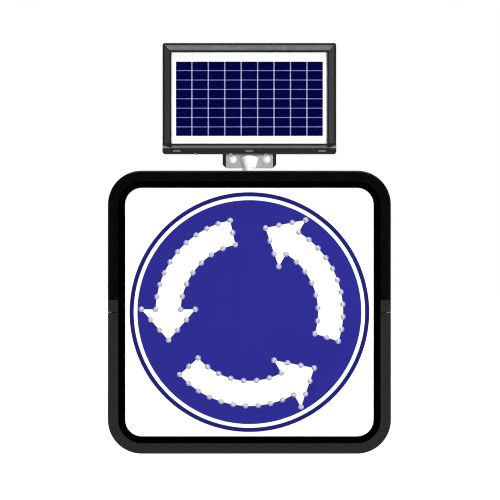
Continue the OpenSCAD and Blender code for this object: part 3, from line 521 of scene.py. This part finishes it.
def arrow_side(x, y):
    """Direction from a lamp of the first arrow towards the arrow's own middle."""
    r, rm = math.hypot(x, y), (R_O + R_I) / 2
    if y > HEAD_Y + 1:
        if abs(r - rm) < 2:
            a = math.radians(A0)
            return (-math.sin(a), math.cos(a))
        k = -1 if r > rm else 1
        return (k * x / r, k * y / r)
    gx, gy = (HEAD_O + HEAD_I + TIP[0]) / 3 - x, (2 * HEAD_Y + TIP[1]) / 3 - y
    g = math.hypot(gx, gy)
    return (gx / g, gy / g)
lamps = []
for turn_by in (0, 120, 240):
    c, s = math.cos(math.radians(turn_by)), math.sin(math.radians(turn_by))
    for x, y in first:
        u, v = arrow_side(x, y)
        lamps.append((x * c - y * s, x * s + y * c, u * c - v * s, u * s + v * c))

def lamp_pieces():
    dome, flange, cup, die = bmesh.new(), bmesh.new(), bmesh.new(), bmesh.new()
    side = dome.verts.layers.float.new("side")
    rim_side = flange.verts.layers.float.new("side")
    arc = [(4.9 * math.cos(math.radians(t)), 1.9 + 3.9 * math.sin(math.radians(t))) for t in range(0, 90, 9)] + [(0, 5.8)]
    for x, z, u, w in lamps:
        at = (x / 1000, Y(10), z / 1000)
        n = len(dome.verts)
        turn(dome, [(0, 0.9), (4.6, 0.9), (4.9, 1.2)] + arc, at, "-Y", 28, cap=False)
        dome.verts.ensure_lookup_table()
        for v in dome.verts[n:]:
            # side: place across the lamp towards its arrow, which steers the dome's painted reflection, highlight and
            # shade
            v[side] = ((v.co.x - at[0]) * u + (v.co.z - at[2]) * w) / 0.0049
        n = len(flange.verts)
        turn(flange, [(4.9, -9.6), (4.9, 0.4), (5.75, 0.45), (5.9, 0.65), (5.9, 1.1), (5.6, 1.45), (5.15, 1.55), (5.0, 1.3), (3.9, 1.0), (3.9, -9.6)], at, "-Y", 28, cap=False)
        flange.verts.ensure_lookup_table()
        for v in flange.verts[n:]:
            # the same place across the flange, which steers its painted reflection
            v[rim_side] = ((v.co.x - at[0]) * u + (v.co.z - at[2]) * w) / 0.0059
        turn(cup, [(3.85, 0.6), (3.4, 0.55), (1.7, -1.4), (0, -1.4), (0, -1.8), (3.85, -1.8), (3.85, 0.6)][:6] + [(3.85, 0.6)], at, "-Y", 20, cap=False)
        for dx in (-1,):
            M = frame_of("-Y", at)
            vs = [die.verts.new(M @ Vector((sx * 0.0006, sy * 0.0006, h))) for h in (-0.00142, -0.0011) for sx, sy in ((-1, -1), (1, -1), (1, 1), (-1, 1))]
            for f in ((0, 3, 2, 1), (4, 5, 6, 7), (0, 1, 5, 4), (1, 2, 6, 5), (2, 3, 7, 6), (3, 0, 4, 7)):
                die.faces.new([vs[i] for i in f])
    a = finish_mesh("lamp_domes", dome, "lamp_dome", "casing", ("led_lenses",), weighted=False, sharp=50)
    b = finish_mesh("lamp_flanges", flange, "lamp_flange", "casing", ("led_lenses",), weighted=False, sharp=50)
    c = finish_mesh("lamp_cups", cup, "lamp_cup", "casing", weighted=False, sharp=50)
    d = finish_mesh("lamp_dies", die, "lamp_die", "casing", weighted=False)
lamp_pieces()

for n in ("led_board_left", "led_board_bottom", "led_board_right"):
    refine(n, "circuit", 0)
refine("board_spacers", "nylon", 0.0002, 1)
refine("board_screws", "zinc_bright", 0.0002, 1)
refine("joint_screws", "frame_charcoal", 0.00015, 1)

# ------------------------------------------------------------------ back and inside
refine("back_panel", "sheet_grey", 0.0003, 2)
refine("service_cover", "sheet_grey", 0.0006, 3)
refine("cover_seal", "cover_rubber", 0.0003, 2)
refine("cover_screws", "zinc_bright", 0.0003, 2)
refine("vent_plug", "plastic_black", 0.0004, 2)
refine("battery_pack", "battery_wrap", 0.0008, 3)
refine("battery_cradle", "galvanised_small", 0.0002, 1)
refine("battery_strap", "webbing", 0.0002, 1)
refine("controller_case", "plastic_dark", 0.0004, 2)
refine("controller_lid", "plastic_dark", 0.0003, 2)

# ------------------------------------------------------------------ rails and pole clamps
for n in ("rail_upper", "rail_lower"):
    refine(n, "galvanised", 0.0006, 2)
refine("rail_rivets", "rivet", 0.0004, 2)
refine("rail_end_caps", "plastic_black", 0.0008, 3)
for n in ("pole_saddle_upper", "pole_saddle_lower", "pole_strap_upper", "pole_strap_lower"):
    refine(n, "galvanised_small", 0.0006, 2)

BACK_V, RAIL_D = 67.5, 22.5
EAR_V = 124 + 6

def pole_hardware():
    nuts, bolts, washers = bmesh.new(), bmesh.new(), bmesh.new()
    for sx in (-1, 1):
        for sz in (-1, 1):
            at = lambda v: (sx * 0.050, Y(v), sz * 0.130)
            hex_solid(nuts, at(EAR_V + 1.6), "+Y", 6.5, 6.5, bore=4.05, phase=0.3 * sx + 0.2 * sz)
            turn(washers, [(4.2, 0), (8.0, 0), (8.0, 0.25), (7.8, 1.6), (4.4, 1.6), (4.2, 1.4), (4.2, 0)], at(EAR_V), "+Y", 48, cap=False)
            thread(bolts, at(BACK_V + RAIL_D - 2), "+Y", 4.0, EAR_V + 12 - (BACK_V + RAIL_D - 2))
            M = frame_of("+Y", at(BACK_V + RAIL_D - 8))
            head = [(-5, -12), (5, -12), (5, 12), (-5, 12)]
            vs = [bolts.verts.new((x / 1000 + sx * 0.050, Y(BACK_V + RAIL_D - 8 + h), z / 1000 + sz * 0.130)) for h in (0, 6) for x, z in head]
            fs = [bolts.faces.new([vs[i] for i in f]) for f in ((3, 2, 1, 0), (4, 5, 6, 7), (0, 1, 5, 4), (1, 2, 6, 5), (2, 3, 7, 6), (3, 0, 4, 7))]
            bmesh.ops.bevel(bolts, geom=list({e for f in fs for e in f.edges}), offset=0.0006, segments=2, profile=0.5, affect="EDGES")
    finish_mesh("pole_clamp_nuts.chamfered", nuts, "zinc_bright", "casing", ("pole_clamp_nuts",), sharp=24)
    finish_mesh("pole_clamp_bolts.threaded", bolts, "zinc_bright", "casing", ("pole_clamp_bolts",), weighted=False, sharp=40)
    finish_mesh("pole_clamp_washers.pressed", washers, "zinc_bright", "casing", ("pole_clamp_washers",), sharp=30)
pole_hardware()

# ------------------------------------------------------------------ neck and clamp
refine("neck", "neck_metal", 0.0003, 2)
refine("neck_locknut", "zinc_bright", 0.0003, 2)
cf = refine("clamp_front", "clamp_plate", 0.0005, 2)
# the boss faces of the one pressed plate get the brighter copy: a painted highlight where the boss catches the light
cf.data.materials.append(MAT["clamp_boss_painted_highlight"])
for f in cf.data.polygons:
    if f.center.y < Y(30.6):
        f.material_index = 1
refine("clamp_rear", "clamp_black", 0.0005, 2)

def clamp_hardware():
    heads, nuts, washers = bmesh.new(), bmesh.new(), bmesh.new()
    for s in (-1, 1):
        at = lambda v: (s * 0.036, Y(v), TOP + 0.024)
        # button head with a six-sided socket
        seg = 48
        M = frame_of("-Y", at(35 - 5.6))
        A = [2 * math.pi * i / seg for i in range(seg)]
        def ring(fn):
            return [heads.verts.new(M @ Vector((r / 1000 * math.cos(a), r / 1000 * math.sin(a), z / 1000))) for a in A for r, z in [fn(a)]]
        rings = [ring(lambda a: (6.4, 0)), ring(lambda a: (6.9, 0.35))]
        for t in range(10, 70, 10):
            rr, zz = 6.9 * math.cos(math.radians(t)), 4.3 * math.sin(math.radians(t))
            rings.append(ring(lambda a, rr=rr, zz=zz: (max(rr, 3.1), zz)))
        rings.append(ring(lambda a: (hexr(a, 2.45) + 0.12, 4.15)))
        rings.append(ring(lambda a: (hexr(a, 2.4), 3.9)))
        rings.append(ring(lambda a: (hexr(a, 2.4), 1.6)))
        rings.append([heads.verts.new(M @ Vector((0, 0, 0.0012)))])
        skin(heads, rings, seg, True)
        thread(heads, at(35 - 5.7), "+Y", 4.0, 25.9)
        hex_solid(nuts, at(39), "+Y", 6.5, 6.5, bore=4.05, phase=0.2 * s)
        turn(washers, [(4.1, 0), (8.8, 0), (8.8, 0.3), (8.5, 1.6), (4.3, 1.6), (4.1, 1.4), (4.1, 0)], at(31), "-Y", 48, cap=False)
    finish_mesh("clamp_bolts.domed", heads, "bolt_bright", "swivel_head", ("clamp_bolts",), weighted=False, sharp=38)
    finish_mesh("clamp_nuts.chamfered", nuts, "zinc_bright", "swivel_head", ("clamp_nuts",), sharp=24)
    finish_mesh("clamp_washers.pressed", washers, "washer_bright", "swivel_head", ("clamp_washers",), sharp=30)
    tb, tn = bmesh.new(), bmesh.new()
    at = lambda x: (x / 1000, Y(54), TOP + 0.066)
    hex_solid(tb, at(-31.8), "-X", 6.5, 5.3, phase=0.1)
    thread(tb, at(-32), "+X", 4.0, 74)
    turn(tn, [(4.1, 0), (8.0, 0), (8.0, 0.3), (7.8, 1.6), (4.2, 1.6), (4.1, 0)], at(31.8), "+X", 48, cap=False)
    hex_solid(tn, at(33.4), "+X", 6.5, 6.4, bore=4.05, phase=0.25)
    finish_mesh("tilt_bolt.threaded", tb, "zinc_bright", "swivel_head", ("tilt_bolt",), weighted=False, sharp=38)
    finish_mesh("tilt_nut.chamfered", tn, "zinc_bright", "swivel_head", ("tilt_nut",), sharp=24)
clamp_hardware()

# a low side light that only the neck and its clamp receive, for the boss's shadow line
clamp_light = lamp("clamp_side", (3.55, -4.0, 0.74), (0.28, 0.28), 150, target=(0, 0, 0.32), glossy=False)
clamp_set = bpy.data.collections.new("clamp_lit")
for ob in scene.collection.objects:
    if ob.name.startswith(("neck", "clamp_")) and ob.type == "MESH":
        clamp_set.objects.link(ob)
clamp_light.light_linking.receiver_collection = clamp_set

# ------------------------------------------------------------------ solar panel
for n in ("panel_rail_top", "panel_rail_left", "panel_rail_right"):
    refine(n, "panel_frame", 0.00035, 2, sharp=24, angle=18)
refine("panel_rail_bottom", "panel_frame_low", 0.00035, 2, sharp=24, angle=18)
refine("panel_plugs", "panel_plug", 0.0004, 2)
refine("panel_edge_screws", "zinc_bright", 0.0003, 2)
refine("panel_backsheet", "backsheet", 0)
g = refine("panel_glass", "glass", 0.0003, 1)
g.visible_shadow = g.visible_diffuse = g.visible_glossy = False
refine("solar_cells", "cell", 0)

def box(bm, lo, hi):
    """Adds a closed box between two corners, in metres."""
    vs = [bm.verts.new((x, y, z)) for x in (lo[0], hi[0]) for y in (lo[1], hi[1]) for z in (lo[2], hi[2])]
    return [bm.faces.new([vs[i] for i in f]) for f in ((0, 1, 3, 2), (4, 6, 7, 5), (0, 4, 5, 1), (2, 3, 7, 6), (0, 2, 6, 4), (1, 5, 7, 3))]

def cell_grid():
    """The pale strips that show between the cells, brighter where they cross."""
    lo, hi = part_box("solar_cells")
    cols, rows, gx, gz = 9, 8, 0.0025, 0.0017
    px, pz = (hi[0] - lo[0] + gx) / cols, (hi[2] - lo[2] + gz) / rows
    y0, y1 = Y(11.24), Y(11.44)
    up, level, cross = bmesh.new(), bmesh.new(), bmesh.new()
    e = 0.00004
    for i in range(1, cols):
        x = lo[0] + i * px - gx / 2
        for j in range(rows):
            z = lo[2] + j * pz
            box(up, (x - gx / 2 + e, y0, z), (x + gx / 2 - e, y1, z + pz - gz))
        for j in range(1, rows):
            z = lo[2] + j * pz - gz
            box(cross, (x - gx / 2 + e, y0, z + e), (x + gx / 2 - e, y1, z + gz - e))
    for j in range(1, rows):
        z = lo[2] + j * pz - gz / 2
        for i in range(cols):
            x = lo[0] + i * px
            box(level, (x, y0, z - gz / 2 - 0.0004), (x + px - gx, y1, z + gz / 2 + 0.0004))
    finish_mesh("cell_strips_upright", up, "grid_upright", "panel", weighted=False)
    finish_mesh("cell_strips_level", level, "grid_level", "panel", weighted=False)
    finish_mesh("cell_strip_crossings", cross, "grid_cross", "panel", weighted=False)
cell_grid()
refine("junction_box", "plastic_black", 0.0006, 3)
refine("junction_lid", "plastic_black", 0.0006, 3)
refine("junction_gland", "plastic_black", 0.0003, 2)

def junction_trim():
    """Two domed lid screws, a raised pad on the lid and ribs down the box's sides."""
    lo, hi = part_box("junction_lid")
    cx, cz = (lo[0] + hi[0]) / 2, (lo[2] + hi[2]) / 2
    screws, trim = bmesh.new(), bmesh.new()
    for s in (-1, 1):
        at = (cx + s * 0.042, hi[1], cz)
        turn(screws, [(1.1, -3), (1.1, 0.0), (2.1, 0.0), (2.25, 0.15), (2.2, 0.75), (1.9, 1.05), (0, 1.1)], at, "+Y", 28, cap=True)
    h = 0.0007
    pad = [(-0.034, -0.021), (0.034, -0.021), (0.034, 0.021), (-0.034, 0.021)]
    vs = [trim.verts.new((cx + x * k, hi[1] - 0.0004 + y, cz + z * k)) for y, k in ((0, 1.0), (0.0004 + h, 0.985)) for x, z in pad]
    for f in ((3, 2, 1, 0), (4, 5, 6, 7), (0, 1, 5, 4), (1, 2, 6, 5), (2, 3, 7, 6), (3, 0, 4, 7)):
        trim.faces.new([vs[i] for i in f])
    bl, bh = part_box("junction_box")
    for s in (-1, 1):
        for i in range(-4, 5):
            x, z = cx + s * 0.0463, cz + i * 0.005
            box(trim, (x - 0.0006, bl[1] + 0.001, z - 0.0007), (x + 0.0006, bh[1] - 0.0004, z + 0.0007))
    finish_mesh("junction_lid_screws", screws, "zinc_bright", "panel", weighted=False, sharp=35)
    finish_mesh("junction_lid_pad", trim, "plastic_black", "panel", weighted=False)
junction_trim()
refine("panel_crossbar", "bar_aluminium", 0.0004, 2)
refine("tilt_bracket", "galvanised_small", 0.0005, 2)
refine("crossbar_bolts", "zinc_bright", 0.0003, 2)

# ------------------------------------------------------------------ floor
def floor():
    bm = bmesh.new()
    seg, R = 96, 160.0
    rings = [[bm.verts.new((0, 0, -1.32))]]
    for r in (2.0, 5.0, 12.0, 40.0, R):
        rings.append([bm.verts.new((r * math.cos(2 * math.pi * i / seg), r * math.sin(2 * math.pi * i / seg), -1.32)) for i in range(seg)])
    skin(bm, rings, seg, cap=False)
    bmesh.ops.recalc_face_normals(bm, faces=bm.faces)
    me = bpy.data.meshes.new("floor")
    bm.to_mesh(me)
    bm.free()
    ob = bpy.data.objects.new("floor", me)
    scene.collection.objects.link(ob)
    me.materials.append(MAT["floor"])
floor()
